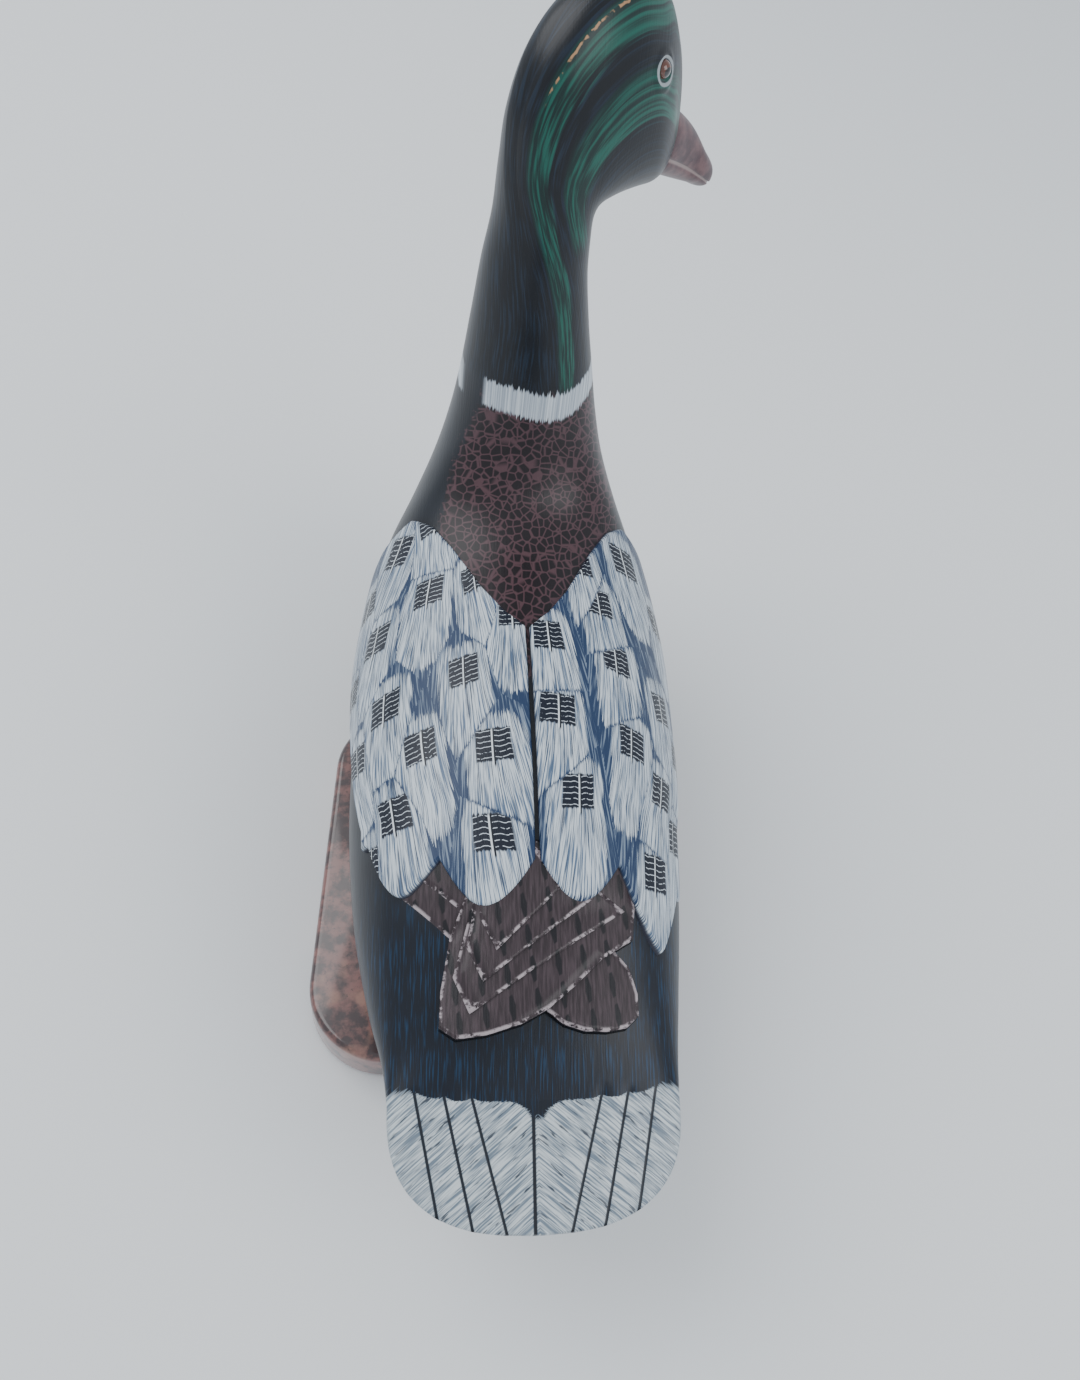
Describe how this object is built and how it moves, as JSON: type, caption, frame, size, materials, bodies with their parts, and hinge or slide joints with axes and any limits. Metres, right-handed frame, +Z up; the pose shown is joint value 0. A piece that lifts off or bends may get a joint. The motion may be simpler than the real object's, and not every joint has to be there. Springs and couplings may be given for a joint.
{
  "type": "duck decoy",
  "caption": "Carved and painted wooden drake decoy with an upright neck, turned head, scalloped folded wings, crossed wing tips and a fan tail, set on a low rounded plinth.",
  "frame": {"origin": "on the plinth's underside, below the middle of the duck's back", "axes": "+Z up; +Y the way the breast faces, with the tail towards -Y; +X the duck's right side, to which the head is turned"},
  "size_m": [0.157, 0.3649, 0.3219],
  "materials": {
    "painted_wood": "carved wood in satin varnished paint: blue-black and green head, white collar, dry-brushed white and blue wings, brown wing tips, white tail",
    "stained_plinth_wood": "mottled red-brown wood under a glossy varnish",
    "eye_glass": "solid brown glass bead with a dark pupil, polished"
  },
  "bodies": {
    "root": {"plinth": "stained_plinth_wood", "duck": "painted_wood", "eye_left": "eye_glass", "eye_right": "eye_glass"}
  },
  "joints": []
}
